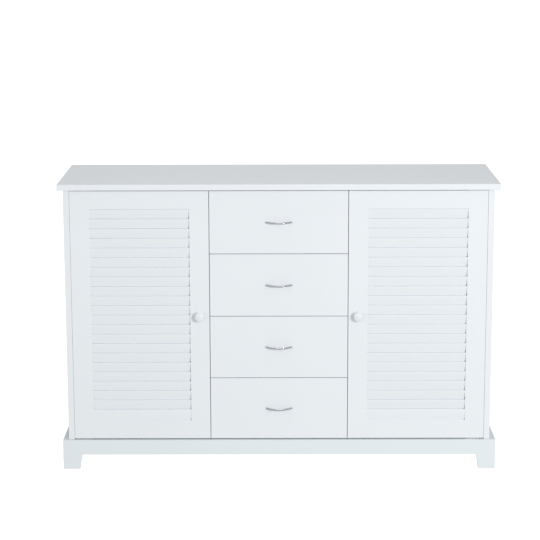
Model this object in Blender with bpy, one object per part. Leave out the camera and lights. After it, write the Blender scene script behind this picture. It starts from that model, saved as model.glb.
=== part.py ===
"""White sideboard with two louvred doors and four drawers on a wrapped base. Metres, +Z up.

X runs from the left door to the right one, and the fronts face -Y. The origin is on the floor,
under the middle of the whole object.
"""

import math

import bmesh
import bpy
from mathutils import Matrix, Vector

# Overall sizes
CARCASS_WIDTH = 1.085
CARCASS_DEPTH = 0.336
HEIGHT = 0.745

# Boards
TOP_THICKNESS = 0.015
SIDE_THICKNESS = 0.015
DIVIDER_THICKNESS = 0.015
BOTTOM_THICKNESS = 0.015
SHELF_THICKNESS = 0.015
BACK_THICKNESS = 0.003
TOP_FRONT_OVERHANG = 0.014
TOP_SIDE_OVERHANG = 0.014
BACK_MARGIN = 0.001
EDGE_ROUND = 0.0005

# Base with its feet
BASE_THICKNESS = 0.015
BASE_HEIGHT = 0.0775
BASE_PROUD = 0.005
BASE_CUTOUT_HEIGHT = 0.0385
FOOT_TOP_WIDTH = 0.0485
FOOT_BOTTOM_WIDTH = 0.0425
SIDE_LAP = 0.0355
STRETCHER_HEIGHT = 0.024

# Gaps between fixed pieces, and between the fronts
SEAT = 0.0003
FRONT_RECESS = 0.001
FRONT_THICKNESS = 0.018
FRONT_GAP = 0.0014
HINGE_SIDE_GAP = 0.0004
CLOSED_GAP = 0.002

# Doors
STILE_WIDTH = 0.0495
TOP_RAIL_HEIGHT = 0.0463
BOTTOM_RAIL_HEIGHT = 0.0485
TENON_LENGTH = 0.012
TENON_THICKNESS = 0.006
TENON_SHOULDER = 0.008
SLAT_COUNT = 22
SLAT_SETBACK = 0.0005
SLAT_LEAN = 0.0048
SLAT_DEPTH = 0.009
SLAT_NOSE_RADIUS = 0.0012
KNOB_RADIUS = 0.0125
KNOB_REACH = 0.025
KNOB_RISE = 0.0016

# Pivot hinges and catches
HINGE_LEAF = 0.001
HINGE_PLAY = {"lower": 0.0004, "upper": 0.0011}
HINGE_EYE_RADIUS = 0.0025
HINGE_PIN_RADIUS = 0.0015
HINGE_PIN_CLEARANCE = 0.0001
HINGE_PIN_BACK = 0.001
HINGE_LEAF_LENGTH = 0.045
HINGE_LEAF_WIDTH = 0.010
HINGE_LEAF_START = 0.002
HINGE_ELBOW = 0.009
CATCH_WIDTH = 0.046
CATCH_BODY_WIDTH = 0.026
CATCH_FLANGE = 0.0025
CATCH_HEIGHT = 0.013
CATCH_DEPTH = 0.014
CATCH_FROM_DIVIDER = 0.008
STRIKE_SPACE = 0.0015

# Drawers
DRAWER_COUNT = 4
DRAWER_BACK_SPACE = 0.0234
DRAWER_BOX_HEIGHT = 0.125
DRAWER_SIDE_THICKNESS = 0.012
DRAWER_SIDE_CLEARANCE = 0.0015
DRAWER_BOTTOM_THICKNESS = 0.003
DRAWER_BOTTOM_LIFT = 0.010
GROOVE_DEPTH = 0.005
RUNNER_WIDTH = 0.018
RUNNER_HEIGHT = 0.012
RUNNER_CLEARANCE = 0.0005
HANDLE_CENTRES = 0.064
HANDLE_REACH = 0.0195
HANDLE_WIRE_RADIUS = 0.0022
HANDLE_LEG = 0.002
HANDLE_FLAT = 0.028
HANDLE_FOOT_BEND = 0.003
HANDLE_BOW_BEND = 0.018

# Shelves
SHELF_HEIGHT = 0.400
SHELF_SETBACK = 0.020

# Depths, from the front to the back
FRONT_REACH = max(TOP_FRONT_OVERHANG, BASE_PROUD, KNOB_REACH - FRONT_RECESS, HANDLE_REACH - FRONT_RECESS)
BACK_Y = (FRONT_REACH + CARCASS_DEPTH) / 2
CARCASS_FRONT_Y = BACK_Y - CARCASS_DEPTH
BASE_FRONT_Y = CARCASS_FRONT_Y - BASE_PROUD
BASE_BACK_Y = BASE_FRONT_Y + BASE_THICKNESS
FACE_Y = CARCASS_FRONT_Y + FRONT_RECESS
FACE_BACK_Y = FACE_Y + FRONT_THICKNESS
DIVIDER_FRONT_Y = FACE_BACK_Y + CLOSED_GAP
CARCASS_BACK_Y = BACK_Y - BACK_THICKNESS - SEAT
DRAWER_BOX_FRONT_Y = FACE_BACK_Y + SEAT
DRAWER_BOX_BACK_Y = CARCASS_BACK_Y - DRAWER_BACK_SPACE

# Heights, from the floor to the top
TOP_UNDERSIDE = HEIGHT - TOP_THICKNESS
LEAVES_AND_SEATS = 2 * HINGE_LEAF + 2 * SEAT
FRONTS_BOTTOM = BASE_HEIGHT + LEAVES_AND_SEATS + HINGE_PLAY["lower"]
FRONTS_TOP = TOP_UNDERSIDE - LEAVES_AND_SEATS - HINGE_PLAY["upper"]
DRAWER_FRONT_HEIGHT = (FRONTS_TOP - FRONTS_BOTTOM - (DRAWER_COUNT - 1) * FRONT_GAP) / DRAWER_COUNT
DRAWER_PITCH = DRAWER_FRONT_HEIGHT + FRONT_GAP
LOUVRE_BOTTOM = FRONTS_BOTTOM + BOTTOM_RAIL_HEIGHT
LOUVRE_TOP = FRONTS_TOP - TOP_RAIL_HEIGHT

# Widths, from the middle outwards
SIDE_OUTER_X = CARCASS_WIDTH / 2
SIDE_INNER_X = SIDE_OUTER_X - SIDE_THICKNESS
BASE_OUTER_X = SIDE_OUTER_X + SEAT + BASE_THICKNESS
TOP_HALF_WIDTH = SIDE_OUTER_X + TOP_SIDE_OVERHANG
FRONT_WIDTH = (2 * SIDE_INNER_X - 2 * HINGE_SIDE_GAP - 2 * FRONT_GAP) / 3
DIVIDER_X = (FRONT_WIDTH + FRONT_GAP) / 2
DIVIDER_INNER_X = DIVIDER_X - DIVIDER_THICKNESS / 2
DIVIDER_OUTER_X = DIVIDER_X + DIVIDER_THICKNESS / 2
DOOR_OUTER_X = SIDE_INNER_X - HINGE_SIDE_GAP
DOOR_INNER_X = DOOR_OUTER_X - FRONT_WIDTH
HINGE_X = SIDE_INNER_X - HINGE_EYE_RADIUS - SEAT - HINGE_PIN_CLEARANCE
HINGE_Y = FACE_Y + HINGE_PIN_BACK
DRAWER_BOX_HALF = DIVIDER_INNER_X - DRAWER_SIDE_CLEARANCE
DRAWER_INNER_HALF = DRAWER_BOX_HALF - DRAWER_SIDE_THICKNESS

# How finely round shapes are divided
EYE_STEPS = 10
PIN_SIDES = 16
NOSE_STEPS = 3
KNOB_SIDES = 24
HANDLE_BEND_STEPS = 4
HANDLE_BEVEL_RESOLUTION = 2
EDGE_SEGMENTS = 2
SMOOTH_ANGLE = math.radians(40)

SIDES = {"left": -1, "right": 1}


def clear_scene():
    for obj in list(bpy.data.objects):
        bpy.data.objects.remove(obj, do_unlink=True)


def make_material(name, colour, roughness, metallic=0.0):
    material = bpy.data.materials.new(name)
    material.use_nodes = True
    shader = material.node_tree.nodes["Principled BSDF"]
    shader.inputs["Base Color"].default_value = (*colour, 1.0)
    shader.inputs["Roughness"].default_value = roughness
    shader.inputs["Metallic"].default_value = metallic
    return material


def add_object(name, data, material, origin, carrier=None):
    """Puts mesh or curve data, made around `origin`, into the scene, carried by an empty if one is given."""
    obj = bpy.data.objects.new(name, data)
    bpy.context.scene.collection.objects.link(obj)
    obj.location = Vector(origin)
    if carrier is not None:
        obj.parent = carrier
        obj.location -= carrier.location
    data.materials.append(material)
    return obj


def add_carrier(name, place):
    """An empty on a joint's axis, which carries one moving assembly."""
    carrier = bpy.data.objects.new(name, None)
    carrier.location = place
    bpy.context.scene.collection.objects.link(carrier)
    return carrier


def mesh_from(bm, name):
    bmesh.ops.recalc_face_normals(bm, faces=bm.faces)
    mesh = bpy.data.meshes.new(name)
    bm.to_mesh(mesh)
    bm.free()
    return mesh


def soften_edges(obj):
    bevel = obj.modifiers.new("soft_edges", "BEVEL")
    bevel.width = EDGE_ROUND
    bevel.segments = EDGE_SEGMENTS
    bevel.limit_method = "ANGLE"
    return obj


def cut(obj, cutter, operation="DIFFERENCE"):
    modifier = obj.modifiers.new(cutter.name, "BOOLEAN")
    modifier.operation = operation
    modifier.solver = "EXACT"
    modifier.object = cutter
    return obj


def as_guide(obj):
    """Marks an object that only cuts or joins others, and isn't a piece itself."""
    obj.hide_render = True
    obj.display_type = "WIRE"
    return obj


def board(name, low, high, material, carrier=None):
    """A rectangular board between two corners."""
    low, high = Vector(low), Vector(high)
    bm = bmesh.new()
    bmesh.ops.create_cube(bm, size=1.0, matrix=Matrix.Diagonal((*(high - low), 1.0)))
    return add_object(name, mesh_from(bm, name), material, (low + high) / 2, carrier)


def extruded(name, outline, axis, start, end, material, carrier=None):
    """A closed outline pushed along one axis. The outline holds the other two coordinates, in X, Y, Z order."""
    place = {"X": lambda a, b, s: (s, a, b), "Y": lambda a, b, s: (a, s, b), "Z": lambda a, b, s: (a, b, s)}[axis]
    origin = Vector(place(*outline[0], start))
    bm = bmesh.new()
    face = bm.faces.new([bm.verts.new(Vector(place(a, b, start)) - origin) for a, b in outline])
    moved = bmesh.ops.extrude_face_region(bm, geom=[face])["geom"]
    corners = [item for item in moved if isinstance(item, bmesh.types.BMVert)]
    bmesh.ops.translate(bm, verts=corners, vec=Vector(place(0, 0, end)) - Vector(place(0, 0, start)))
    return add_object(name, mesh_from(bm, name), material, origin, carrier)


def turned(name, profile, sides, place, material, carrier=None):
    """A profile of (radius, distance towards -Y) spun round the Y axis through `place`."""
    bm = bmesh.new()
    verts = [bm.verts.new((radius, -distance, 0.0)) for radius, distance in profile]
    edges = [bm.edges.new(pair) for pair in zip(verts, verts[1:])]
    bmesh.ops.spin(
        bm, geom=verts + edges, cent=(0, 0, 0), axis=(0, 1, 0), angle=2 * math.pi, steps=sides, use_merge=True
    )
    bmesh.ops.remove_doubles(bm, verts=bm.verts, dist=1e-6)
    mesh = mesh_from(bm, name)
    mesh.shade_smooth()
    mesh.set_sharp_from_angle(angle=SMOOTH_ANGLE)
    return add_object(name, mesh, material, place, carrier)


def rounded_corner(before, corner, after, radius, steps):
    """The points of an arc of `radius` that rounds one corner of an outline."""
    before, corner, after = Vector(before), Vector(corner), Vector(after)
    to_before = (before - corner).normalized()
    to_after = (after - corner).normalized()
    half = to_before.angle(to_after) / 2
    centre = corner + (to_before + to_after).normalized() * (radius / math.sin(half))
    start = corner + to_before * (radius / math.tan(half)) - centre
    end = corner + to_after * (radius / math.tan(half)) - centre
    turn = start.angle_signed(end)
    points = []
    for step in range(steps + 1):
        spoke = start.copy()
        spoke.rotate(Matrix.Rotation(-turn * step / steps, 2))
        points.append(tuple(centre + spoke))
    return points


def make_top(paint):
    low = (-TOP_HALF_WIDTH, CARCASS_FRONT_Y - TOP_FRONT_OVERHANG, TOP_UNDERSIDE)
    soften_edges(board("top_panel", low, (TOP_HALF_WIDTH, BACK_Y, HEIGHT), paint))


def make_sides(paint):
    """Side panels, notched at the lower front corner for the base board."""
    panel_bottom = BASE_HEIGHT - SIDE_LAP
    notch_y = BASE_BACK_Y + SEAT
    notch_z = BASE_HEIGHT + SEAT
    outline = [
        (CARCASS_FRONT_Y, notch_z),
        (CARCASS_FRONT_Y, TOP_UNDERSIDE - SEAT),
        (CARCASS_BACK_Y, TOP_UNDERSIDE - SEAT),
        (CARCASS_BACK_Y, panel_bottom),
        (notch_y, panel_bottom),
        (notch_y, notch_z),
    ]
    for side, sign in SIDES.items():
        panel = extruded("side_panel_" + side, outline, "X", sign * SIDE_INNER_X, sign * SIDE_OUTER_X, paint)
        soften_edges(panel)


def make_inside_boards(paint, hardboard):
    """Bottom panel, dividers, shelves and back panel."""
    board(
        "bottom_panel",
        (-SIDE_INNER_X + SEAT, BASE_BACK_Y + SEAT, BASE_HEIGHT - BOTTOM_THICKNESS),
        (SIDE_INNER_X - SEAT, CARCASS_BACK_Y, BASE_HEIGHT),
        paint,
    )
    for side, sign in SIDES.items():
        divider_x = sorted((sign * DIVIDER_INNER_X, sign * DIVIDER_OUTER_X))
        board(
            "divider_" + side,
            (divider_x[0], DIVIDER_FRONT_Y, BASE_HEIGHT + SEAT),
            (divider_x[1], CARCASS_BACK_Y, TOP_UNDERSIDE - SEAT),
            paint,
        )
        shelf_x = sorted((sign * (DIVIDER_OUTER_X + SEAT), sign * (SIDE_INNER_X - SEAT)))
        board(
            "shelf_" + side,
            (shelf_x[0], DIVIDER_FRONT_Y + SHELF_SETBACK, SHELF_HEIGHT - SHELF_THICKNESS),
            (shelf_x[1], CARCASS_BACK_Y, SHELF_HEIGHT),
            paint,
        )
    board(
        "back_panel",
        (-SIDE_OUTER_X + BACK_MARGIN, BACK_Y - BACK_THICKNESS, BASE_HEIGHT - BOTTOM_THICKNESS),
        (SIDE_OUTER_X - BACK_MARGIN, BACK_Y, TOP_UNDERSIDE - SEAT),
        hardboard,
    )


def footed_outline(left, right, left_foot, right_foot):
    """A base board's outline: a rail with a foot at each end. A foot is given as its (top, bottom) widths."""
    return [
        (left, 0.0),
        (left + left_foot[1], 0.0),
        (left + left_foot[0], BASE_CUTOUT_HEIGHT),
        (right - right_foot[0], BASE_CUTOUT_HEIGHT),
        (right - right_foot[1], 0.0),
        (right, 0.0),
        (right, BASE_HEIGHT),
        (left, BASE_HEIGHT),
    ]


def make_base(paint):
    """The front board covers the ends of the side boards, so each front corner foot is an L of two boards."""
    foot = (FOOT_TOP_WIDTH, FOOT_BOTTOM_WIDTH)
    outline = footed_outline(-BASE_OUTER_X, BASE_OUTER_X, foot, foot)
    soften_edges(extruded("base_front", outline, "Y", BASE_FRONT_Y, BASE_BACK_Y, paint))
    covered = BASE_THICKNESS + SEAT
    front_foot = (FOOT_TOP_WIDTH - covered, FOOT_BOTTOM_WIDTH - covered)
    outline = footed_outline(BASE_BACK_Y + SEAT, BACK_Y, front_foot, foot)
    for side, sign in SIDES.items():
        inner = sign * (SIDE_OUTER_X + SEAT)
        soften_edges(extruded("base_" + side, outline, "X", inner, sign * BASE_OUTER_X, paint))
    stretcher_top = BASE_HEIGHT - BOTTOM_THICKNESS - SEAT
    board(
        "base_stretcher",
        (-SIDE_INNER_X + SEAT, CARCASS_BACK_Y - BASE_THICKNESS, stretcher_top - STRETCHER_HEIGHT),
        (SIDE_INNER_X - SEAT, CARCASS_BACK_Y, stretcher_top),
        paint,
    )


def louvre_outline():
    """The slats' section in Y and Z: each slat leans back towards its foot, and the next one's top is a ledge."""
    top = LOUVRE_TOP - SEAT
    pitch = (LOUVRE_TOP - LOUVRE_BOTTOM - 2 * SEAT) / SLAT_COUNT
    nose_y = FACE_Y + SLAT_SETBACK
    foot_y = nose_y + SLAT_LEAN
    front, back = [], []
    for slat in range(SLAT_COUNT):
        high = top - slat * pitch
        low = high - pitch
        front += rounded_corner((foot_y, high), (nose_y, high), (foot_y, low), SLAT_NOSE_RADIUS, NOSE_STEPS)
        front.append((foot_y, low))
        heel = (foot_y + SLAT_DEPTH, low)
        back.append((nose_y + SLAT_DEPTH, high))
        back += rounded_corner((nose_y + SLAT_DEPTH, high), heel, (foot_y, low), SLAT_NOSE_RADIUS, NOSE_STEPS)
    return front + back[::-1]


def make_rail(name, x_low, x_high, z_low, z_high, paint, carrier):
    """A door rail with a tenon at each end. Returns the guide that cuts the mortises for it."""
    middle_y = (FACE_Y + FACE_BACK_Y) / 2
    rail = board(name, (x_low + SEAT, FACE_Y, z_low), (x_high - SEAT, FACE_BACK_Y, z_high), paint, carrier)
    soften_edges(rail)
    reach = Vector((TENON_LENGTH, 0, 0))
    low = Vector((x_low, middle_y - TENON_THICKNESS / 2, z_low + TENON_SHOULDER)) - reach
    high = Vector((x_high, middle_y + TENON_THICKNESS / 2, z_high - TENON_SHOULDER)) + reach
    cut(rail, as_guide(board(name + "_tenons", low, high, paint, carrier)), "UNION")
    room = Vector((SEAT, SEAT, SEAT))
    return as_guide(board(name + "_mortises", low - room, high + room, paint, carrier))


def make_knob(name, x, z, paint, carrier):
    """A mushroom knob: a small foot, a narrow neck and a domed head."""
    r, reach = KNOB_RADIUS, KNOB_REACH
    profile = [
        (0.0, SEAT),
        (0.60 * r, SEAT),
        (0.60 * r, 0.08 * reach),
        (0.46 * r, 0.22 * reach),
        (0.50 * r, 0.40 * reach),
        (0.84 * r, 0.50 * reach),
        (r, 0.62 * reach),
        (0.98 * r, 0.74 * reach),
        (0.80 * r, 0.87 * reach),
        (0.44 * r, 0.97 * reach),
        (0.0, reach),
    ]
    turned(name, profile, KNOB_SIDES, (x, FACE_Y, z), paint, carrier)


def hinge_leaf_outline(sign):
    """A pivot hinge's leaf in X and Y: a round eye at the pin, and a plate that runs along the door's end."""
    points = []
    for step in range(EYE_STEPS + 1):
        angle = math.radians(90 + 210 * step / EYE_STEPS)
        points.append((HINGE_EYE_RADIUS * math.cos(angle), HINGE_EYE_RADIUS * math.sin(angle)))
    plate_back = HINGE_LEAF_START + HINGE_LEAF_WIDTH
    points += [
        (HINGE_ELBOW, HINGE_LEAF_START),
        (HINGE_LEAF_LENGTH, HINGE_LEAF_START),
        (HINGE_LEAF_LENGTH, plate_back),
        (HINGE_EYE_RADIUS, plate_back),
    ]
    return [(sign * (HINGE_X - along), HINGE_Y + back) for along, back in points]


def add_pin(name, x, z_low, z_high, radius, material, carrier=None):
    """A short upright cylinder on a hinge's axis, which joins or cuts a leaf."""
    bm = bmesh.new()
    bmesh.ops.create_cone(
        bm, cap_ends=True, segments=PIN_SIDES, radius1=radius, radius2=radius, depth=z_high - z_low
    )
    place = (x, HINGE_Y, (z_low + z_high) / 2)
    return as_guide(add_object(name, mesh_from(bm, name), material, place, carrier))


def make_hinge(side, end, steel, carrier):
    """One pivot hinge: the leaf with the pin on the cabinet, and the leaf with the eye on the door."""
    sign = SIDES[side]
    outline = hinge_leaf_outline(sign)
    wall_z, inward = (BASE_HEIGHT, 1) if end == "lower" else (TOP_UNDERSIDE, -1)
    fixed_z = [wall_z + inward * SEAT, wall_z + inward * (SEAT + HINGE_LEAF)]
    play = HINGE_PLAY[end]
    swing_z = [fixed_z[1] + inward * play, fixed_z[1] + inward * (play + HINGE_LEAF)]
    tag = side + "_" + end
    x = sign * HINGE_X
    fixed = extruded("hinge_fixed_leaf_" + tag, outline, "Z", *fixed_z, steel)
    pin_z = sorted((sum(fixed_z) / 2, swing_z[1]))
    cut(fixed, add_pin("hinge_pin_" + tag, x, *pin_z, HINGE_PIN_RADIUS, steel), "UNION")
    moving = extruded("hinge_door_leaf_" + tag, outline, "Z", *swing_z, steel, carrier)
    bore_z = sorted((swing_z[0] - inward * SEAT, swing_z[1] + inward * SEAT))
    bore_radius = HINGE_PIN_RADIUS + HINGE_PIN_CLEARANCE
    cut(moving, add_pin("hinge_bore_" + tag, x, *bore_z, bore_radius, steel, carrier))


def make_door(side, paint, knob_paint, steel):
    """One door: two stiles, two tenoned rails, the panel of slats, the knob and its hinges."""
    sign = SIDES[side]
    carrier = add_carrier("door_" + side + "_axis", (sign * HINGE_X, HINGE_Y, FRONTS_BOTTOM))
    stiles = {
        "hinge": (DOOR_OUTER_X - STILE_WIDTH, DOOR_OUTER_X),
        "knob": (DOOR_INNER_X, DOOR_INNER_X + STILE_WIDTH),
    }
    opening = sorted((sign * stiles["knob"][1], sign * stiles["hinge"][0]))
    prefix = "door_" + side
    mortises = [
        make_rail(prefix + "_top_rail", *opening, LOUVRE_TOP, FRONTS_TOP, paint, carrier),
        make_rail(prefix + "_bottom_rail", *opening, FRONTS_BOTTOM, LOUVRE_BOTTOM, paint, carrier),
    ]
    for edge, span in stiles.items():
        x = sorted((sign * span[0], sign * span[1]))
        low, high = (x[0], FACE_Y, FRONTS_BOTTOM), (x[1], FACE_BACK_Y, FRONTS_TOP)
        stile = soften_edges(board(prefix + "_" + edge + "_stile", low, high, paint, carrier))
        for mortise in mortises:
            cut(stile, mortise)
    start, end = opening[0] + SEAT, opening[1] - SEAT
    extruded(prefix + "_louvre", louvre_outline(), "X", start, end, paint, carrier)
    knob_x = sign * sum(stiles["knob"]) / 2
    make_knob(prefix + "_knob", knob_x, (FRONTS_BOTTOM + FRONTS_TOP) / 2 + KNOB_RISE, knob_paint, carrier)
    for end in ("upper", "lower"):
        make_hinge(side, end, steel, carrier)


def make_catch(side, plastic):
    """A magnetic catch under the top panel, near the door's free edge: a flange with the magnet's body below."""
    sign = SIDES[side]
    middle = sign * (DIVIDER_OUTER_X + CATCH_FROM_DIVIDER + CATCH_WIDTH / 2)
    top = TOP_UNDERSIDE - SEAT
    half, body = CATCH_WIDTH / 2, CATCH_BODY_WIDTH / 2
    outline = [
        (middle - half, top),
        (middle - half, top - CATCH_FLANGE),
        (middle - body, top - CATCH_FLANGE),
        (middle - body, top - CATCH_HEIGHT),
        (middle + body, top - CATCH_HEIGHT),
        (middle + body, top - CATCH_FLANGE),
        (middle + half, top - CATCH_FLANGE),
        (middle + half, top),
    ]
    front = FACE_BACK_Y + STRIKE_SPACE
    extruded("catch_" + side, outline, "Y", front, front + CATCH_DEPTH, plastic)


def make_handle(name, z, chrome, carrier):
    """A bowed wire handle: two short legs, two straight arms that lean in, and a flat middle."""
    half, flat = HANDLE_CENTRES / 2, HANDLE_FLAT / 2
    bow_y = HANDLE_WIRE_RADIUS - HANDLE_REACH
    left = [(-half, -SEAT), (-half, -HANDLE_LEG), (-flat, bow_y)]
    corners = left + [(-x, y) for x, y in reversed(left)]
    bends = [HANDLE_FOOT_BEND, HANDLE_BOW_BEND, HANDLE_BOW_BEND, HANDLE_FOOT_BEND]
    path = [corners[0]]
    for before, corner, after, bend in zip(corners, corners[1:], corners[2:], bends):
        path += rounded_corner(before, corner, after, bend, HANDLE_BEND_STEPS)
    path.append(corners[-1])
    curve = bpy.data.curves.new(name, "CURVE")
    curve.dimensions = "3D"
    spline = curve.splines.new("POLY")
    spline.points.add(len(path) - 1)
    for point, (x, y) in zip(spline.points, path):
        point.co = (x, y, 0.0, 1.0)
    spline.use_smooth = True
    curve.bevel_depth = HANDLE_WIRE_RADIUS
    curve.bevel_resolution = HANDLE_BEVEL_RESOLUTION
    curve.use_fill_caps = True
    add_object(name, curve, chrome, (0.0, FACE_Y, z), carrier)


def make_drawer(number, paint, board_paint, hardboard, runner_wood, chrome):
    """One drawer and its two runners. Drawer 1 is the top one."""
    level = DRAWER_COUNT - number
    front_low = FRONTS_BOTTOM + level * DRAWER_PITCH
    runner_low = BASE_HEIGHT + SEAT + level * DRAWER_PITCH
    box_low = runner_low + RUNNER_HEIGHT + RUNNER_CLEARANCE
    name = "drawer_" + str(number)
    front_middle = front_low + DRAWER_FRONT_HEIGHT / 2
    carrier = add_carrier(name + "_axis", (0.0, FACE_Y, front_middle))

    groove_half = DRAWER_INNER_HALF + GROOVE_DEPTH
    groove_y = (FACE_BACK_Y - GROOVE_DEPTH, DRAWER_BOX_BACK_Y - DRAWER_SIDE_THICKNESS + GROOVE_DEPTH)
    groove_z = box_low + DRAWER_BOTTOM_LIFT
    groove_top = groove_z + DRAWER_BOTTOM_THICKNESS + 2 * SEAT
    groove_low = (-groove_half, groove_y[0], groove_z)
    groove_high = (groove_half, groove_y[1], groove_top)
    groove = as_guide(board(name + "_groove", groove_low, groove_high, paint, carrier))

    low = (-FRONT_WIDTH / 2, FACE_Y, front_low)
    high = (FRONT_WIDTH / 2, FACE_BACK_Y, front_low + DRAWER_FRONT_HEIGHT)
    cut(soften_edges(board(name + "_front", low, high, paint, carrier)), groove)

    inner_back = DRAWER_BOX_BACK_Y - DRAWER_SIDE_THICKNESS
    outline = [
        (-DRAWER_BOX_HALF, DRAWER_BOX_FRONT_Y),
        (-DRAWER_INNER_HALF, DRAWER_BOX_FRONT_Y),
        (-DRAWER_INNER_HALF, inner_back),
        (DRAWER_INNER_HALF, inner_back),
        (DRAWER_INNER_HALF, DRAWER_BOX_FRONT_Y),
        (DRAWER_BOX_HALF, DRAWER_BOX_FRONT_Y),
        (DRAWER_BOX_HALF, DRAWER_BOX_BACK_Y),
        (-DRAWER_BOX_HALF, DRAWER_BOX_BACK_Y),
    ]
    box = extruded(name + "_box", outline, "Z", box_low, box_low + DRAWER_BOX_HEIGHT, board_paint, carrier)
    cut(box, groove)

    board(
        name + "_bottom",
        (-groove_half + SEAT, groove_y[0] + SEAT, groove_z + SEAT),
        (groove_half - SEAT, groove_y[1] - SEAT, groove_top - SEAT),
        hardboard,
        carrier,
    )
    make_handle(name + "_handle", front_middle, chrome, carrier)

    for side, sign in SIDES.items():
        x = sorted((sign * (DIVIDER_INNER_X - SEAT), sign * (DIVIDER_INNER_X - SEAT - RUNNER_WIDTH)))
        board(
            name + "_runner_" + side,
            (x[0], DIVIDER_FRONT_Y, runner_low),
            (x[1], DRAWER_BOX_BACK_Y, runner_low + RUNNER_HEIGHT),
            runner_wood,
        )


def main():
    clear_scene()
    paint = make_material("white_paint", (0.84, 0.86, 0.88), 0.42)
    knob_paint = make_material("white_gloss", (0.86, 0.87, 0.88), 0.25)
    board_paint = make_material("white_board", (0.80, 0.80, 0.79), 0.55)
    hardboard = make_material("white_hardboard", (0.74, 0.73, 0.70), 0.65)
    runner_wood = make_material("pale_pine", (0.72, 0.58, 0.40), 0.6)
    chrome = make_material("chrome", (0.78, 0.79, 0.80), 0.12, 1.0)
    steel = make_material("zinc_steel", (0.62, 0.62, 0.60), 0.35, 1.0)
    plastic = make_material("white_plastic", (0.78, 0.78, 0.76), 0.5)

    make_top(paint)
    make_sides(paint)
    make_inside_boards(board_paint, hardboard)
    make_base(paint)
    for side in SIDES:
        make_door(side, paint, knob_paint, steel)
        make_catch(side, plastic)
    for number in range(1, DRAWER_COUNT + 1):
        make_drawer(number, paint, board_paint, hardboard, runner_wood, chrome)


main()
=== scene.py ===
"""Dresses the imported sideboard: finishes, finer fittings, lights and camera. Metres, +Z up, front at -Y."""
import math
from itertools import product

import bmesh
import bpy
from mathutils import Matrix, Vector


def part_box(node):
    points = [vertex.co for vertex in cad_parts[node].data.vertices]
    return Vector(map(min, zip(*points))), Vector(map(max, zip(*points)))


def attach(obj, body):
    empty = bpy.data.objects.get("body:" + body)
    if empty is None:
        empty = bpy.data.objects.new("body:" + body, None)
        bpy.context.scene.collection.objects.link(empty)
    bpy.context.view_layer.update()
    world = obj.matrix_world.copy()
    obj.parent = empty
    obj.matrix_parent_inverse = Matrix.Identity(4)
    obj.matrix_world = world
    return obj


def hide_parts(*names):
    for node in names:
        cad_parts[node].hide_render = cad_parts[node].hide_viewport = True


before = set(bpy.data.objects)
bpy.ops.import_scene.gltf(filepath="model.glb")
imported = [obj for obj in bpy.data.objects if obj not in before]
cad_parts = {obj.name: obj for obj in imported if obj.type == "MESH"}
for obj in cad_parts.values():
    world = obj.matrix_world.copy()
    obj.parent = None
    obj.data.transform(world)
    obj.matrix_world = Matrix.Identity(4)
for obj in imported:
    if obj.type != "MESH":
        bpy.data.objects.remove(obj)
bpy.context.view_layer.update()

# Camera, fitted to the straight edges of the photograph
FRAME_PIXELS = 540
FOCAL_PIXELS = 1786.36
SENSOR_MM = 36.0
CAMERA_PLACE = (-0.00413, -4.58718, 1.43223)
CAMERA_YAW, CAMERA_PITCH, CAMERA_ROLL = -0.0041, 0.2022, -0.0028

# Studio
WHITE = (1.0, 1.0, 1.0, 1.0)
ROOM_GLOW = 0.615
FLOOR_RADIUS = 40.0
FLOOR_SIDES = 96
FLOOR_GLOW = 0.93
FLOOR_DARK, FLOOR_LIGHT = (0.30, 0.30, 0.30), (0.33, 0.33, 0.33)
FLOOR_ROUGHNESS = 0.9
LIGHTS = {
    # name: (place, what it points at, (width, height), watts)
    "key_light": ((1.70, -4.06, 1.42), (0.0, -0.15, 0.42), (0.78, 0.78), 79.5),
    "fill_light": ((-2.40, -2.90, 1.10), (0.0, -0.15, 0.42), (1.60, 1.60), 7.0),
    "overhead_light": ((0.0, -0.32, 2.70), (0.0, -0.32, 0.74), (0.40, 0.80), 5.8),
}

# Colours
WHITE_PAINT = (0.795, 0.832, 0.862)
# The base's paint is the white paint made darker and a touch cooler: painted shade for the dimmer light low
# down
SHADED_BASE_PAINT = (0.751, 0.809, 0.836)
GLOSS_PAINT = (0.775, 0.812, 0.842)
PAINT_VARIATION = 0.02
BOARD_DARK, BOARD_LIGHT = (0.765, 0.775, 0.780), (0.830, 0.838, 0.842)
HARDBOARD_FIBRE, HARDBOARD_PATCH = (0.66, 0.655, 0.635), (0.70, 0.695, 0.675)
HARDBOARD_LIGHT = (0.765, 0.762, 0.748)
PINE_BANDS = ((0.62, 0.44, 0.25), (0.74, 0.58, 0.38), (0.80, 0.66, 0.47))
PINE_FIBRE, PINE_LIGHT = (0.60, 0.43, 0.25), (0.80, 0.66, 0.46)
CHROME_DARK, CHROME_LIGHT = (0.49, 0.50, 0.52), (0.57, 0.58, 0.60)
ZINC_DARK, ZINC_STAIN, ZINC_LIGHT = (0.50, 0.51, 0.52), (0.56, 0.55, 0.52), (0.68, 0.69, 0.70)
PLASTIC_DARK, PLASTIC_LIGHT = (0.735, 0.735, 0.715), (0.80, 0.80, 0.785)

# The part of a noise's range that drives roughness from its low to its high value
NOISE_LOW, NOISE_HIGH = 0.3, 0.7

# The object
SIDES = {"left": -1, "right": 1}
DRAWERS = range(1, 5)
BASE_BOARDS = ("base_front", "base_left", "base_right")
BOARD_SEAT = 0.0003  # the space that the CAD leaves where two boards meet

# Meshes
SMOOTH_ANGLE = math.radians(35)
MERGE_DISTANCE = 1e-7
ARC_STEPS = 5

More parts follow.
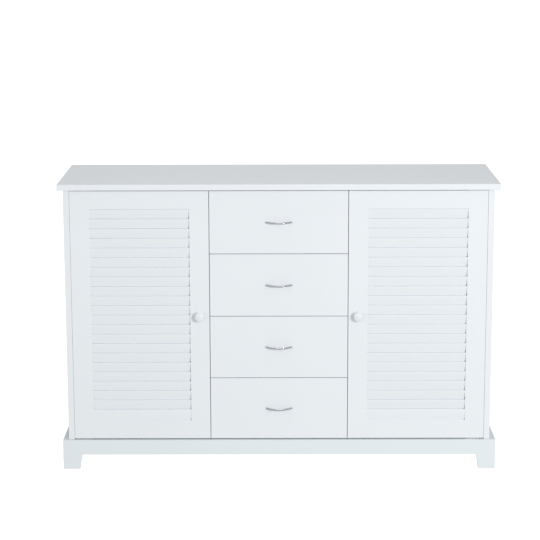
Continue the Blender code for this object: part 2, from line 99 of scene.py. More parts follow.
# Louvres. The lowest slat leans less than the others and is taller, as in the photograph.
SLAT_COUNT = 22
SLAT_DEPTH = 0.009
SLAT_SETBACK = 0.0005
SLAT_LEAN = 0.0048
LOWEST_SLAT_LEAN = 0.0012
LOWEST_SLAT_EXTRA = 0.0029
SLAT_SPACE = 0.00014  # between a slat's foot and the slat below
SLAT_HOUSING = 0.0005  # how far the ends go into the stiles
SLAT_NOSE_RADIUS = 0.0012
SLAT_FOOT_RADIUS = 0.0005
SLAT_EAR_LENGTH, SLAT_EAR_HEIGHT = 0.0028, 0.0075  # the rounding of the foot's right-hand corner
SLAT_EAR_STEPS = 6

# Knobs: the profile gives shares of the radius and of the reach, from the foot to the top of the dome
KNOB_SIDES = 64
KNOB_CURVE_STEPS = 4
KNOB_PROFILE = (
    (0.60, 0.0), (0.61, 0.05), (0.56, 0.12), (0.46, 0.22), (0.45, 0.32), (0.55, 0.42), (0.80, 0.50),
    (0.96, 0.60), (1.0, 0.70), (0.97, 0.80), (0.86, 0.885), (0.60, 0.950), (0.30, 0.988), (0.0, 1.0),
)

# Handles
HANDLE_SIDES = 20
HANDLE_LEG = 0.002
HANDLE_FLAT = 0.028
HANDLE_FOOT_BEND = 0.003
HANDLE_BOW_BEND = 0.018
HANDLE_BEND_STEPS = 10
HANDLE_STRETCH_STEPS = 6
HANDLE_FOOT_RADIUS = 0.0023
HANDLE_FOOT_LENGTH = 0.0060
HANDLE_FLARE_POWER = 1.5

# Paint in the doors' joints: depths are behind the door's face
JOINT_HALF_WIDTH = 0.00105
JOINT_LIP = 0.00002
JOINT_HOLLOW = 0.00010
JOINT_SHOULDER = 0.8
JOINT_DEPTH = 0.0010
JOINT_END = 0.0005

# Screw heads. A crown gives shares of the radius and of the height, from the rim to the middle.
SCREW_SIDES = 28
CROSS_ARM = 0.62
CROSS_WIDTH = 0.26
PAN_RADIUS, PAN_HEIGHT = 0.0033, 0.0020
PAN_SHANK = 0.5
PAN_BURIED = 0.001
PAN_RIM, PAN_DOME = 0.3, 0.7
PAN_DOME_STEPS = 6
PAN_CROSS_DEPTH = 0.6
FLUSH_RADIUS, FLUSH_PROUD = 0.0024, 0.00010
FLUSH_CROWN = ((1.0, 0.5), (0.92, 0.9), (0.5, 1.0), (0.0, 1.0))
FLUSH_RIM = 0.0001
FLUSH_CONE = 0.0008
FLUSH_CONE_END = 0.55
FLUSH_CROSS_DEPTH = 0.0006

# Cam locks, and the places of the hinges' and runners' screws
CAM_RADIUS, CAM_PROUD = 0.0075, 0.0004
CAM_PLACES = (-0.100, 0.120)
CAM_BELOW_TOP = 0.034
HINGE_LEAF = 0.001
HINGE_LEAF_REACH = 0.012
HINGE_LEAF_HALF = 0.005
HINGE_SCREWS = (0.018, 0.036)
RUNNER_SCREWS = (0.045, 0.240)

# Shelf pins
SHELF_PIN_RADIUS = 0.0025
SHELF_PIN_REACH = 0.008
SHELF_PIN_BURIED = 0.002
SHELF_PIN_TIP = ((1.0, 0.9), (0.93, 0.97), (0.8, 1.0), (0.0, 1.0))
SHELF_PIN_INSET = 0.045

# Catches and their strike plates
POLE_WIDTH, POLE_HEIGHT = 0.022, 0.0026
POLE_CORNER = 0.0004
POLE_PROUD = 0.0004
POLE_BURIED = 0.001
POLE_PLACES = (0.0022, 0.0078)
CATCH_FLANGE = 0.0025
CATCH_SCREW_X = 0.018
STRIKE_WIDTH, STRIKE_HEIGHT = 0.030, 0.0085
STRIKE_CORNER = 0.0012
STRIKE_THICKNESS = 0.0009
STRIKE_BELOW_TOP = 0.0060

# Nails in the back panel
NAIL_SIDES = 16
NAIL_RADIUS, NAIL_PROUD = 0.0017, 0.0005
NAIL_BURIED = 0.0005
NAIL_CROWN = ((1.0, 0.4), (0.75, 1.0), (0.0, 1.0))
NAIL_SPACING = 0.095
NAIL_INSET = 0.0075

# Boards inside, which the CAD leaves square
SOFTENED_BOARDS = ("divider", "shelf", "bottom_panel", "_box", "runner")
SOFT_EDGE = 0.0004
SOFT_EDGE_STEPS = 2
WELD_DISTANCE = 0.00001


# Materials


class Finish:
    """A procedural material: a principled shader with its nodes, read in object coordinates."""

    def __init__(self, name):
        self.material = bpy.data.materials.new(name + "_finish")
        self.material.use_nodes = True
        self.tree = self.material.node_tree
        self.shader = self.tree.nodes["Principled BSDF"]
        self.coordinates = self.tree.nodes.new("ShaderNodeTexCoord").outputs["Object"]

    def set(self, **values):
        """Plain values of the shader. An underscore in a name stands for a space."""
        for socket, value in values.items():
            self.shader.inputs[socket.replace("_", " ")].default_value = value
        return self

    def node(self, kind, **values):
        """A new node with plain values in its inputs. An underscore in a name stands for a space."""
        node = self.tree.nodes.new(kind)
        for socket, value in values.items():
            node.inputs[socket.replace("_", " ")].default_value = value
        return node

    def link(self, start, end):
        """Joins an output to an input."""
        self.tree.links.new(start, end)

    def stretched(self, scale):
        """The coordinates, scaled along each axis."""
        node = self.node("ShaderNodeMapping", Scale=scale)
        self.link(self.coordinates, node.inputs["Vector"])
        return node.outputs["Vector"]

    def noise(self, scale, detail=3.0, roughness=0.5, distortion=0.0, vector=None):
        """Cloudy values round one half."""
        node = self.node(
            "ShaderNodeTexNoise", Scale=scale, Detail=detail, Roughness=roughness, Distortion=distortion
        )
        self.link(vector or self.coordinates, node.inputs["Vector"])
        return node.outputs["Fac"]

    def cells(self, scale):
        """Small patches, each of one random colour."""
        node = self.node("ShaderNodeTexVoronoi", Scale=scale)
        self.link(self.coordinates, node.inputs["Vector"])
        return node.outputs["Color"]

    def ramp(self, source, *stops):
        """Colours at positions along the source value."""
        node = self.node("ShaderNodeValToRGB")
        elements = node.color_ramp.elements
        while len(elements) < len(stops):
            elements.new(0.5)
        for element, (position, colour) in zip(elements, stops):
            element.position = position
            element.color = (*colour, 1.0)
        self.link(source, node.inputs["Fac"])
        return node.outputs["Color"]

    def blended(self, first, second, share):
        """The first colour with a share of the second one mixed in."""
        node = self.node("ShaderNodeMix")
        node.data_type = "RGBA"
        node.inputs["Factor"].default_value = share
        self.link(first, node.inputs["A"])
        self.link(second, node.inputs["B"])
        return node.outputs["Result"]

    def colour(self, source):
        """Makes the source the shader's colour."""
        self.link(source, self.shader.inputs["Base Color"])

    def roughness(self, source, low, high):
        """Roughness from low to high, as the source runs through the middle of a noise's range."""
        span = {"From_Min": NOISE_LOW, "From_Max": NOISE_HIGH, "To_Min": low, "To_Max": high}
        node = self.node("ShaderNodeMapRange", **span)
        self.link(source, node.inputs["Value"])
        self.link(node.outputs["Result"], self.shader.inputs["Roughness"])

    def bumps(self, *layers):
        """Bump layers of (source, height in metres)."""
        normal = None
        for source, height in layers:
            node = self.node("ShaderNodeBump", Strength=1.0, Distance=height)
            self.link(source, node.inputs["Height"])
            if normal is not None:
                self.link(normal, node.inputs["Normal"])
            normal = node.outputs["Normal"]
        self.link(normal, self.shader.inputs["Normal"])


def shade(colour, share):
    """A colour made darker or lighter."""
    return tuple(value * share for value in colour)


def painted(name, colour, rough, peel_scale, peel_height, shine=0.5):
    """Sprayed paint: a slow change of tone, a duller patch here and there and a fine orange-peel surface."""
    darker, lighter = shade(colour, 1 - PAINT_VARIATION), shade(colour, 1 + PAINT_VARIATION / 2)
    finish = Finish(name).set(Specular_IOR_Level=shine)
    slow = finish.noise(scale=2.3, detail=4.0, roughness=0.55)
    fine = finish.noise(scale=90.0, roughness=0.6)
    broad = finish.ramp(slow, (0.30, darker), (0.70, lighter))
    flecks = finish.ramp(fine, (0.25, darker), (0.75, lighter))
    finish.colour(finish.blended(broad, flecks, share=0.35))
    finish.roughness(finish.noise(scale=14.0, detail=4.0, roughness=0.6), *rough)
    peel = finish.noise(scale=peel_scale, detail=2.0)
    waves = finish.noise(scale=9.0, detail=2.0)
    finish.bumps((peel, peel_height), (waves, peel_height * 2))
    return finish.material


def make_white_board():
    """Foil-faced board inside the cabinet: a faint pressed grain along its length."""
    finish = Finish("white_board").set(Specular_IOR_Level=0.45)
    long_grain = finish.stretched((6.0, 1.0, 1.0))
    grain = finish.noise(scale=60.0, detail=5.0, roughness=0.65, vector=long_grain)
    finish.colour(finish.ramp(grain, (0.30, BOARD_DARK), (0.70, BOARD_LIGHT)))
    finish.roughness(grain, low=0.42, high=0.56)
    finish.bumps((grain, 0.00004), (finish.noise(scale=700.0, detail=2.0), 0.00002))
    return finish.material


def make_hardboard():
    """Painted hardboard: pressed fibres show through thin paint."""
    finish = Finish("white_hardboard").set(Specular_IOR_Level=0.35)
    fibres = finish.noise(scale=140.0, detail=6.0, roughness=0.7, distortion=1.5)
    patches = finish.noise(scale=5.0)
    fine = finish.ramp(fibres, (0.32, HARDBOARD_FIBRE), (0.62, HARDBOARD_LIGHT))
    broad = finish.ramp(patches, (0.30, HARDBOARD_PATCH), (0.70, HARDBOARD_LIGHT))
    finish.colour(finish.blended(fine, broad, share=0.4))
    finish.roughness(fibres, low=0.55, high=0.75)
    finish.bumps((fibres, 0.00008))
    return finish.material


def make_pine():
    """Unpainted pine: growth bands and darker fibres along Y."""
    finish = Finish("pale_pine").set(Specular_IOR_Level=0.35)
    bands = finish.noise(scale=55.0, distortion=0.6, vector=finish.stretched((1.0, 0.05, 1.0)))
    fibres = finish.noise(scale=420.0, detail=4.0, roughness=0.6, vector=finish.stretched((1.0, 0.03, 1.0)))
    broad = finish.ramp(bands, *zip((0.35, 0.50, 0.68), PINE_BANDS))
    fine = finish.ramp(fibres, (0.30, PINE_FIBRE), (0.60, PINE_LIGHT))
    finish.colour(finish.blended(broad, fine, share=0.35))
    finish.roughness(fibres, low=0.50, high=0.68)
    finish.bumps((fibres, 0.00010), (bands, 0.00012))
    return finish.material


def make_chrome():
    """Polished chrome with the slight waviness of a cast handle."""
    finish = Finish("chrome").set(Metallic=1.0)
    smears = finish.noise(scale=160.0)
    finish.colour(finish.ramp(smears, (0.30, CHROME_DARK), (0.70, CHROME_LIGHT)))
    finish.roughness(smears, low=0.04, high=0.09)
    finish.bumps((finish.noise(scale=220.0, detail=1.0), 0.00001))
    return finish.material


def make_zinc():
    """Zinc-plated steel: a mottled, slightly dull plate."""
    finish = Finish("zinc_steel").set(Metallic=1.0)
    crystals = finish.cells(320.0)
    cloudy = finish.noise(scale=60.0, detail=4.0)
    pale = finish.ramp(crystals, (0.0, ZINC_DARK), (1.0, ZINC_LIGHT))
    stain = finish.ramp(cloudy, (0.35, ZINC_STAIN), (0.65, ZINC_LIGHT))
    finish.colour(finish.blended(pale, stain, share=0.5))
    finish.roughness(cloudy, low=0.28, high=0.42)
    finish.bumps((finish.noise(scale=900.0, detail=2.0), 0.00002))
    return finish.material


def make_plastic():
    """Moulded white plastic with a fine eroded texture."""
    finish = Finish("white_plastic")
    finish.set(Specular_IOR_Level=0.5, Subsurface_Weight=0.05, Subsurface_Scale=0.002)
    grain = finish.noise(scale=1400.0, detail=2.0, roughness=0.6)
    cloudy = finish.noise(scale=80.0)
    finish.colour(finish.ramp(cloudy, (0.30, PLASTIC_DARK), (0.70, PLASTIC_LIGHT)))
    finish.roughness(cloudy, low=0.40, high=0.52)
    finish.bumps((grain, 0.00003))
    return finish.material


FINISHES = {
    "white_paint": painted("white_paint", WHITE_PAINT, (0.36, 0.46), 520.0, 0.00003),
    # A darker copy of the white paint for the base boards: painted shade
    "shaded_base_paint": painted("shaded_base_paint", SHADED_BASE_PAINT, (0.36, 0.46), 520.0, 0.00003),
    "white_gloss": painted("white_gloss", GLOSS_PAINT, (0.18, 0.26), 300.0, 0.00002, shine=0.2),
    "white_board": make_white_board(),
    "white_hardboard": make_hardboard(),
    "pale_pine": make_pine(),
    "chrome": make_chrome(),
    "zinc_steel": make_zinc(),
    "white_plastic": make_plastic(),
}


def dress_nodes():
    """Gives the CAD's nodes the finish of their slot. The base's boards get a darker, cooler copy of the white
    paint: painted shade for the dimmer light low down.
    """
    for name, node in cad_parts.items():
        for holder in node.material_slots:
            slot = holder.material.name.split(".")[0]
            holder.material = FINISHES["shaded_base_paint" if name in BASE_BOARDS else slot]


# Making pieces


def turned_towards(direction, axis="Z"):
    """A turn that points an axis in a direction."""
    return Vector(direction).to_track_quat(axis, "Y").to_matrix().to_4x4()


def add_piece(name, mesh, slot, body, place=(0, 0, 0), facing=None):
    """Puts a mesh into the scene as a piece that rides on a CAD body. `facing` turns its +Z axis that way."""
    if not mesh.materials:
        mesh.materials.append(FINISHES[slot])
    obj = bpy.data.objects.new(name, mesh)
    bpy.context.scene.collection.objects.link(obj)
    turn = Matrix.Identity(4) if facing is None else turned_towards(facing)
    obj.matrix_world = Matrix.Translation(place) @ turn
    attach(obj, body)
    return obj


def centre(low, high):
    """The middle of a box."""
    return tuple((start + end) / 2 for start, end in zip(low, high))


def face_x(low, high, sign):
    """X at a box's left face for -1, and at its right face for 1."""
    return high.x if sign > 0 else low.x


def mesh_from(bm, name):
    """A mesh with its normals outwards, smooth apart from its sharper edges."""
    bmesh.ops.remove_doubles(bm, verts=bm.verts, dist=MERGE_DISTANCE)
    bmesh.ops.recalc_face_normals(bm, faces=bm.faces)
    mesh = bpy.data.meshes.new(name)
    bm.to_mesh(mesh)
    bm.free()
    mesh.shade_smooth()
    mesh.set_sharp_from_angle(angle=SMOOTH_ANGLE)
    return mesh


def turned_mesh(name, profile, sides):
    """A profile of (radius, height) spun round the Z axis."""
    bm = bmesh.new()
    verts = [bm.verts.new((radius, 0.0, height)) for radius, height in profile]
    edges = [bm.edges.new(pair) for pair in zip(verts, verts[1:])]
    bmesh.ops.spin(
        bm, geom=verts + edges, cent=(0, 0, 0), axis=(0, 0, 1), angle=2 * math.pi, steps=sides, use_merge=True
    )
    return mesh_from(bm, name)


def skinned_mesh(name, rings):
    """Rings of points joined one after another, with a face over each end."""
    bm = bmesh.new()
    rings = [[bm.verts.new(point) for point in ring] for ring in rings]
    for ring, following in zip(rings, rings[1:]):
        for i in range(len(ring)):
            j = (i + 1) % len(ring)
            bm.faces.new((ring[i], ring[j], following[j], following[i]))
    bm.faces.new(rings[0])
    bm.faces.new(rings[-1])
    return mesh_from(bm, name)


def extruded_mesh(name, outline, start, end, axis="Z"):
    """A closed outline pushed along Y or Z. It holds the other two coordinates, X first."""
    if axis == "Y":
        rings = [[(x, along, z) for x, z in outline] for along in (start, end)]
    else:
        rings = [[(x, y, along) for x, y in outline] for along in (start, end)]
    return skinned_mesh(name, rings)


def tube_mesh(name, path, radii, sides):
    """A closed tube along a path in the XZ plane."""
    rings = []
    for i, (point, radius) in enumerate(zip(path, radii)):
        along = (path[min(i + 1, len(path) - 1)] - path[max(i - 1, 0)]).normalized()
        across = Vector((-along.z, 0.0, along.x))
        ring = []
        for step in range(sides):
            angle = 2 * math.pi * step / sides
            offset = across * math.cos(angle) * radius + Vector((0, 1, 0)) * math.sin(angle) * radius
            ring.append(point + offset)
        rings.append(ring)
    return skinned_mesh(name, rings)


def cut_mesh(name, mesh, cutter):
    """A copy of the first mesh with the second one cut out of it."""
    solid, tool = bpy.data.objects.new(name, mesh), bpy.data.objects.new(name + "_cutter", cutter)
    for obj in (solid, tool):
        bpy.context.scene.collection.objects.link(obj)
    modifier = solid.modifiers.new("cut", "BOOLEAN")
    modifier.solver = "EXACT"
    modifier.object = tool
    cut = bpy.data.meshes.new_from_object(solid.evaluated_get(bpy.context.evaluated_depsgraph_get()))
    cut.name = name
    cut.set_sharp_from_angle(angle=SMOOTH_ANGLE)
    for obj in (solid, tool):
        bpy.data.objects.remove(obj, do_unlink=True)
    return cut


def smooth_profile(points, steps):
    """A curve through the points, divided finely."""
    result = []
    for i in range(len(points) - 1):
        before = Vector(points[max(i - 1, 0)])
        start, end = Vector(points[i]), Vector(points[i + 1])
        after = Vector(points[min(i + 2, len(points) - 1)])
        for step in range(steps):
            t = step / steps
            result.append(
                0.5 * (
                    2 * start
                    + (end - before) * t
                    + (2 * before - 5 * start + 4 * end - after) * t * t
                    + (3 * start - before - 3 * end + after) * t ** 3
                )
            )
    result.append(Vector(points[-1]))
    return result


def rounded(before, corner, after, radius, steps=ARC_STEPS):
    """The points of an arc of `radius` that rounds one corner of an outline."""
    before, corner, after = Vector(before), Vector(corner), Vector(after)
    to_before, to_after = (before - corner).normalized(), (after - corner).normalized()
    half = to_before.angle(to_after) / 2
    centre_point = corner + (to_before + to_after).normalized() * (radius / math.sin(half))
    start = corner + to_before * (radius / math.tan(half)) - centre_point
    end = corner + to_after * (radius / math.tan(half)) - centre_point
    turn = start.angle_signed(end)
    points = []
    for step in range(steps + 1):
        spoke = start.copy()
        spoke.rotate(Matrix.Rotation(-turn * step / steps, 2))
        points.append(tuple(centre_point + spoke))
    return points


def rounded_outline(corners, radii):
    """A closed outline whose corners are each rounded by their own radius."""
    count = len(corners)
    points = []
    for i, (corner, radius) in enumerate(zip(corners, radii)):
        points += rounded(corners[i - 1], corner, corners[(i + 1) % count], radius)
    return points


def crowned(radius, height, crown):
    """The upper part of a head's profile, from shares of its radius and height."""
    return [(radius * across, height * up) for across, up in crown]


def stud_profile(radius, height, crown, buried):
    """The profile of a crowned stud that starts below the surface."""
    return [(0.0, -buried), (radius, -buried)] + crowned(radius, height, crown)


# Louvres: each slat is a piece of its own


def slat_outline(high, low, lean, rise):
    """A slat's section in Y and Z, from foot to nose. `rise` lifts the front corner of the foot."""
    corners = [(lean, low + rise), (0.0, high), (SLAT_DEPTH, high), (lean + SLAT_DEPTH, low)]
    radii = [SLAT_FOOT_RADIUS, SLAT_NOSE_RADIUS, SLAT_FOOT_RADIUS, SLAT_NOSE_RADIUS]
    return rounded_outline(corners, radii)


def slat_mesh(name, high, low, width, lean):
    """A slat that leans back from its nose to its foot. The foot's right-hand corner is rounded off."""
    half = width / 2
    stations = [(-half, 0.0)]
    for step in reversed(range(SLAT_EAR_STEPS + 1)):
        angle = math.pi / 2 * step / SLAT_EAR_STEPS
        x = half - SLAT_HOUSING - SLAT_EAR_LENGTH * (1 - math.cos(angle))
        stations.append((x, SLAT_EAR_HEIGHT * (1 - math.sin(angle))))
    stations.append((half, SLAT_EAR_HEIGHT))
    rings = [[(x, y, z) for y, z in slat_outline(high, low, lean, rise)] for x, rise in stations]
    return skinned_mesh(name, rings)


def make_louvre(side):
    """One door's slats, from the top down. The lowest one is let into the rail below it."""
    door = "door_" + side
    node = door + "_louvre"
    low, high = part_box(node)
    x = centre(low, high)[0]
    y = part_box(door + "_knob_stile")[0].y + SLAT_SETBACK
    pitch = (high.z - low.z - LOWEST_SLAT_EXTRA) / SLAT_COUNT
    width = high.x - low.x + 2 * SLAT_HOUSING
    foot = -LOWEST_SLAT_EXTRA - SLAT_HOUSING
    mesh = slat_mesh("slat_" + side, pitch, SLAT_SPACE, width, SLAT_LEAN)
    lowest = slat_mesh("lowest_slat_" + side, pitch, foot, width, LOWEST_SLAT_LEAN)
    for number in range(1, SLAT_COUNT + 1):
        shape = lowest if number == SLAT_COUNT else mesh
        place = (x, y, high.z - number * pitch)
        slat = add_piece(f"{door}_slat_{number:02d}", shape, "white_paint", door, place)
        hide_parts(node)


# Knobs and handles


def make_knob(side):
    """A turned mushroom knob with a small foot, a neck and a domed head."""
    door = "door_" + side
    node = door + "_knob"
    low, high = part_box(node)
    x, _, z = centre(low, high)
    radius, reach = (high.x - low.x) / 2, high.y - low.y
    curve = smooth_profile(KNOB_PROFILE, KNOB_CURVE_STEPS)
    profile = [(0.0, 0.0)] + [(max(across, 0.0) * radius, out * reach) for across, out in curve]
    mesh = turned_mesh("knob_" + side, profile, KNOB_SIDES)
    knob = add_piece(door + "_turned_knob", mesh, "white_gloss", door, (x, high.y, z), (0, -1, 0))
    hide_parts(node)


def handle_path(half, reach):
    """The bow's middle line: short legs, straight arms that lean in, and a flat middle."""
    flat = HANDLE_FLAT / 2
    corners = [
        (-half, 0.0), (-half, HANDLE_LEG), (-flat, reach), (flat, reach), (half, HANDLE_LEG), (half, 0.0),
    ]
    bends = [HANDLE_FOOT_BEND, HANDLE_BOW_BEND, HANDLE_BOW_BEND, HANDLE_FOOT_BEND]
    points = [corners[0]]
    for before, corner, after, bend in zip(corners, corners[1:], corners[2:], bends):
        points += rounded(before, corner, after, bend, HANDLE_BEND_STEPS)
    points.append(corners[-1])
    path = []
    for start, end in zip(points, points[1:]):
        steps = HANDLE_STRETCH_STEPS if math.dist(start, end) > HANDLE_LEG else 1
        path += [Vector(start).lerp(Vector(end), step / steps) for step in range(steps)]
    path.append(Vector(points[-1]))
    return [Vector((x, 0.0, z)) for x, z in path]


def make_handles():
    """The drawers' bow handles, all alike. Their feet flare out towards the drawer's front."""
    low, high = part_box("drawer_1_handle")
    wire = (high.z - low.z) / 2
    path = handle_path((high.x - low.x) / 2 - wire, high.y - low.y - wire)
    radii = []
    for point in path:
        flare = max(0.0, 1 - point.z / HANDLE_FOOT_LENGTH)
        radii.append(wire + (HANDLE_FOOT_RADIUS - wire) * flare ** HANDLE_FLARE_POWER)
    mesh = tube_mesh("bow_handle", path, radii, HANDLE_SIDES)
    for number in DRAWERS:
        drawer = f"drawer_{number}"
        node = drawer + "_handle"
        low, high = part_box(node)
        x, _, z = centre(low, high)
        handle = add_piece(drawer + "_bow_handle", mesh, "chrome", drawer, (x, high.y, z), (0, -1, 0))
        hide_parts(node)


# Paint in the joints between rails and stiles


def joint_outline():
    """The paint's section in X and Y, from the face of the door inwards, with a hollow in the middle."""
    right = [
        (JOINT_HALF_WIDTH / 2, JOINT_HOLLOW * JOINT_SHOULDER), (JOINT_HALF_WIDTH, JOINT_LIP),
        (JOINT_HALF_WIDTH, JOINT_DEPTH),
    ]
    left = [(-x, y) for x, y in reversed(right)]
    return left + [(0.0, JOINT_HOLLOW)] + right


def make_joint_paint(side):
    """Fills each joint nearly to the face: the paint bridges it and leaves only a faint hollow."""
    door = "door_" + side
    stiles = sorted((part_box(f"{door}_{edge}_stile") for edge in ("hinge", "knob")), key=lambda box: box[0].x)
    (left_low, left_high), (right_low, _) = stiles
    joints = {"left": left_high.x + BOARD_SEAT / 2, "right": right_low.x - BOARD_SEAT / 2}
    for rail in ("top", "bottom"):
        low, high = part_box(f"{door}_{rail}_rail")
        for end, x in joints.items():
            name = f"{door}_{rail}_{end}_joint_paint"
            mesh = extruded_mesh(name, joint_outline(), low.z + JOINT_END, high.z - JOINT_END)
            add_piece(name, mesh, "white_paint", door, (x, left_low.y, 0.0))


# Screws, nails and locks


def crossed_mesh(name, profile, radius, depth):
    """A turned head with a cross recess, round the Z axis with its top up."""
    head = turned_mesh(name + "_head", profile, SCREW_SIDES)
    top = max(height for _, height in profile)
    arm, half = radius * CROSS_ARM, radius * CROSS_WIDTH / 2
    quarter = [(arm, -half), (arm, half), (half, half)]
    outline = []
    for _ in range(4):
        outline += quarter
        quarter = [(-y, x) for x, y in quarter]
    cutter = extruded_mesh(name + "_cross", outline, top - depth, top + depth)
    return cut_mesh(name, head, cutter)


def pan_head_mesh(name):
    """A domed head over a short stretch of its shank."""
    shank = PAN_RADIUS * PAN_SHANK
    profile = [(0.0, -PAN_BURIED), (shank, -PAN_BURIED), (shank, 0.0), (PAN_RADIUS, 0.0)]
    for step in range(PAN_DOME_STEPS + 1):
        angle = math.pi / 2 * step / PAN_DOME_STEPS
        height = PAN_HEIGHT * (PAN_RIM + PAN_DOME * math.sin(angle))
        profile.append((PAN_RADIUS * math.cos(angle), height))
    return crossed_mesh(name, profile, PAN_RADIUS, PAN_HEIGHT * PAN_CROSS_DEPTH)


def flush_head_mesh(name, radius, proud):
    """A head that sits nearly flush: a thin crowned disc over a short cone."""
    cone = [(0.0, -FLUSH_CONE), (radius * FLUSH_CONE_END, -FLUSH_CONE), (radius, -FLUSH_RIM)]
    return crossed_mesh(name, cone + crowned(radius, proud, FLUSH_CROWN), radius, FLUSH_CROSS_DEPTH)


PAN_SCREW = pan_head_mesh("pan_screw")
FLUSH_SCREW = flush_head_mesh("flush_screw", FLUSH_RADIUS, FLUSH_PROUD)
CAM_FACE = flush_head_mesh("cam_face", CAM_RADIUS, CAM_PROUD)


def make_hinge_screws(side):
    """Two countersunk screws in each leaf, on the face that looks at the other leaf."""
    sign = SIDES[side]
    for end, inward in (("lower", 1), ("upper", -1)):
        for kind, body, outward in (("fixed", "carcass", inward), ("door", "door_" + side, -inward)):
            node = f"hinge_{kind}_leaf_{side}_{end}"
            low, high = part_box(node)
            eye_radius = high.y - low.y - HINGE_LEAF_REACH
            pin_x = face_x(low, high, sign) - sign * eye_radius
            z = low.z if outward < 0 else high.z
            if kind == "fixed":
                # Its box also holds the pin, so its face is found from the other side
                z = low.z + HINGE_LEAF if outward > 0 else high.z - HINGE_LEAF
            for number, along in enumerate(HINGE_SCREWS, 1):
                place = (pin_x - sign * along, high.y - HINGE_LEAF_HALF, z)
                add_piece(f"{node}_screw_{number}", FLUSH_SCREW, "zinc_steel", body, place, (0, 0, outward))


def make_cam_locks(side):
    """The locks that hold the top, on the inside of the side panel and on the divider's outer face."""
    sign = SIDES[side]
    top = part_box("top_panel")[0].z
    for board, towards in (("side_panel_" + side, -sign), ("divider_" + side, sign)):
        x = face_x(*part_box(board), towards)
        for number, y in enumerate(CAM_PLACES, 1):
            place = (x, y, top - CAM_BELOW_TOP)
            add_piece(f"{board}_cam_lock_{number}", CAM_FACE, "zinc_steel", "carcass", place, (towards, 0, 0))


def make_shelf_pins(side):
    """Four pins under the shelf, two in the board at each of its ends."""
    low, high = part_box("shelf_" + side)
    profile = stud_profile(SHELF_PIN_RADIUS, SHELF_PIN_REACH, SHELF_PIN_TIP, SHELF_PIN_BURIED)
    mesh = turned_mesh("shelf_pin", profile, SCREW_SIDES)
    ends = ((low.x - BOARD_SEAT, 1), (high.x + BOARD_SEAT, -1))
    rows = (low.y + SHELF_PIN_INSET, high.y - SHELF_PIN_INSET)
    for number, ((x, towards), y) in enumerate(product(ends, rows), 1):
        place = (x, y, low.z - SHELF_PIN_RADIUS)
        add_piece(f"shelf_{side}_pin_{number}", mesh, "zinc_steel", "carcass", place, (towards, 0, 0))


def plate_mesh(name, width, height, thickness, corner):
    """A thin plate in X and Z with rounded corners, from Y zero to minus its thickness."""
    x, z = width / 2, height / 2
    outline = rounded_outline([(-x, -z), (x, -z), (x, z), (-x, z)], [corner] * 4)
    return extruded_mesh(name, outline, -thickness, 0.0, "Y")


def make_catch_fittings(side):
    """The catch's two steel poles and the screws through its flange."""
    low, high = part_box("catch_" + side)
    x, y, _ = centre(low, high)
    pole = plate_mesh("catch_pole", POLE_WIDTH, POLE_HEIGHT, POLE_PROUD + POLE_BURIED, POLE_CORNER)
    for name, height in zip(("lower", "upper"), POLE_PLACES):
        place = (x, low.y + POLE_BURIED, low.z + height)
        add_piece(f"catch_{side}_{name}_pole", pole, "zinc_steel", "carcass", place)
    for number, along in enumerate((-CATCH_SCREW_X, CATCH_SCREW_X), 1):
        place = (x + along, y, high.z - CATCH_FLANGE)
        add_piece(f"catch_{side}_screw_{number}", PAN_SCREW, "zinc_steel", "carcass", place, (0, 0, -1))


def make_strike(side):
    """The steel plate on the inside of the door, opposite the catch, and its screw."""
    door = "door_" + side
    x = centre(*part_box("catch_" + side))[0]
    _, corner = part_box(door + "_knob_stile")
    z = corner.z - STRIKE_BELOW_TOP
    strike = plate_mesh("strike_plate", STRIKE_WIDTH, STRIKE_HEIGHT, -STRIKE_THICKNESS, STRIKE_CORNER)
    add_piece(door + "_strike_plate", strike, "zinc_steel", door, (x, corner.y, z))
    face = (x, corner.y + STRIKE_THICKNESS, z)
    add_piece(door + "_strike_screw", FLUSH_SCREW, "zinc_steel", door, face, (0, 1, 0))


def make_knob_screw(side):
    """The screw that holds the knob, on the inside of the door."""
    door = "door_" + side
    x, _, z = centre(*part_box(door + "_knob"))
    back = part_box(door + "_knob_stile")[1].y
    add_piece(door + "_knob_screw", PAN_SCREW, "zinc_steel", door, (x, back, z), (0, 1, 0))


def make_drawer_screws(number):
    """The screws that hold the handle, inside the drawer, and those that hold the two runners."""
    drawer = f"drawer_{number}"
    low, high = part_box(drawer + "_handle")
    half = (high.x - low.x) / 2 - (high.z - low.z) / 2
    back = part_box(drawer + "_front")[1].y
    for side, sign in SIDES.items():
        place = (sign * half, back, (low.z + high.z) / 2)
        add_piece(f"{drawer}_handle_screw_{side}", PAN_SCREW, "zinc_steel", drawer, place, (0, 1, 0))
        runner = f"{drawer}_runner_{side}"
        runner_low, runner_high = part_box(runner)
        x, z = face_x(runner_low, runner_high, -sign), centre(runner_low, runner_high)[2]
        for screw, along in enumerate(RUNNER_SCREWS, 1):
            place = (x, runner_low.y + along, z)
            add_piece(f"{runner}_screw_{screw}", PAN_SCREW, "zinc_steel", "carcass", place, (-sign, 0, 0))


def evenly(start, end, spacing):
    """Places from start to end, as near to the spacing as an even division comes."""
    count = max(round((end - start) / spacing), 1)
    return [start + (end - start) * step / count for step in range(count + 1)]


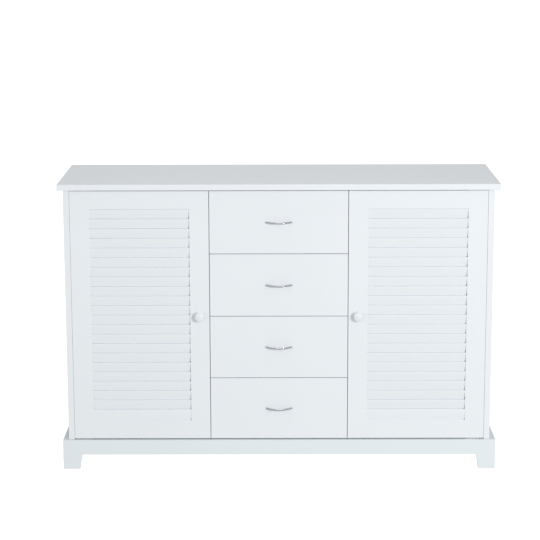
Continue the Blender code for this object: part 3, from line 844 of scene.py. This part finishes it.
def make_back_nails():
    """Flat nail heads round the back panel and along the dividers behind it, all in one piece."""
    low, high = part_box("back_panel")
    profile = stud_profile(NAIL_RADIUS, NAIL_PROUD, NAIL_CROWN, NAIL_BURIED)
    head = turned_mesh("nail_head", profile, NAIL_SIDES)
    across = evenly(low.x + NAIL_INSET, high.x - NAIL_INSET, NAIL_SPACING)
    up = evenly(low.z + NAIL_INSET, high.z - NAIL_INSET, NAIL_SPACING)
    dividers = [centre(*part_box("divider_" + side))[0] for side in SIDES]
    places = [(x, z) for x in across for z in (up[0], up[-1])]
    places += [(x, z) for x in (across[0], across[-1], *dividers) for z in up[1:-1]]
    bm = bmesh.new()
    turn = turned_towards((0, 1, 0))
    for x, z in places:
        before = len(bm.verts)
        bm.from_mesh(head)
        bm.verts.ensure_lookup_table()
        bmesh.ops.transform(bm, matrix=Matrix.Translation((x, high.y, z)) @ turn, verts=bm.verts[before:])
    add_piece("back_panel_nails", mesh_from(bm, "back_panel_nails"), "zinc_steel", "carcass")


def soften_inner_boards():
    """Takes the sharpness off the boards inside."""
    for name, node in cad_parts.items():
        if any(word in name for word in SOFTENED_BOARDS):
            weld = node.modifiers.new("weld", "WELD")
            weld.merge_threshold = WELD_DISTANCE
            bevel = node.modifiers.new("soft_edges", "BEVEL")
            bevel.width = SOFT_EDGE
            bevel.segments = SOFT_EDGE_STEPS
            bevel.limit_method = "ANGLE"


# Studio and camera


def make_lights():
    """Soft square lamps."""
    for name, (place, target, size, watts) in LIGHTS.items():
        data = bpy.data.lights.new(name, "AREA")
        data.shape = "RECTANGLE"
        data.size, data.size_y = size
        data.energy = watts
        light = bpy.data.objects.new(name, data)
        bpy.context.scene.collection.objects.link(light)
        turn = turned_towards(Vector(target) - Vector(place), "-Z")
        light.matrix_world = Matrix.Translation(place) @ turn


def make_room():
    """Even light from all round."""
    world = bpy.data.worlds.new("studio_room")
    bpy.context.scene.world = world
    world.use_nodes = True
    room = world.node_tree.nodes["Background"]
    room.inputs["Color"].default_value = WHITE
    room.inputs["Strength"].default_value = ROOM_GLOW


def make_floor():
    """A wide white floor. Its glow shows to the camera alone, so it doesn't light the cabinet from below."""
    bm = bmesh.new()
    bmesh.ops.create_circle(bm, cap_ends=True, segments=FLOOR_SIDES, radius=FLOOR_RADIUS)
    mesh = mesh_from(bm, "studio_floor")
    finish = Finish("studio_floor").set(Roughness=FLOOR_ROUGHNESS, Emission_Color=WHITE)
    finish.set(Emission_Strength=FLOOR_GLOW)
    finish.colour(finish.ramp(finish.noise(scale=0.8), (0.30, FLOOR_DARK), (0.70, FLOOR_LIGHT)))
    mesh.materials.append(finish.material)
    floor = bpy.data.objects.new("studio_floor", mesh)
    bpy.context.scene.collection.objects.link(floor)
    floor.visible_diffuse = False
    floor.visible_glossy = False


def make_camera():
    """The camera that the photograph was taken with, as far as its straight edges tell."""
    ahead = Vector((math.sin(CAMERA_YAW), math.cos(CAMERA_YAW), 0.0))
    level = Vector((math.cos(CAMERA_YAW), -math.sin(CAMERA_YAW), 0.0))
    forward = ahead * math.cos(CAMERA_PITCH) - Vector((0, 0, math.sin(CAMERA_PITCH)))
    up = ahead * math.sin(CAMERA_PITCH) + Vector((0, 0, math.cos(CAMERA_PITCH)))
    right = level * math.cos(CAMERA_ROLL) + up * math.sin(CAMERA_ROLL)
    top = up * math.cos(CAMERA_ROLL) - level * math.sin(CAMERA_ROLL)
    data = bpy.data.cameras.new("camera")
    data.sensor_width = SENSOR_MM
    data.lens = FOCAL_PIXELS / FRAME_PIXELS * SENSOR_MM
    camera = bpy.data.objects.new("camera", data)
    bpy.context.scene.collection.objects.link(camera)
    turn = Matrix((right, top, -forward)).transposed().to_4x4()
    camera.matrix_world = Matrix.Translation(CAMERA_PLACE) @ turn
    bpy.context.scene.camera = camera


dress_nodes()
for side in SIDES:
    make_louvre(side)
    make_knob(side)
    make_joint_paint(side)
    make_hinge_screws(side)
    make_cam_locks(side)
    make_shelf_pins(side)
    make_catch_fittings(side)
    make_strike(side)
    make_knob_screw(side)
make_handles()
for number in DRAWERS:
    make_drawer_screws(number)
make_back_nails()
soften_inner_boards()

make_room()
make_floor()
make_lights()
make_camera()
bpy.context.scene.view_settings.view_transform = "Standard"
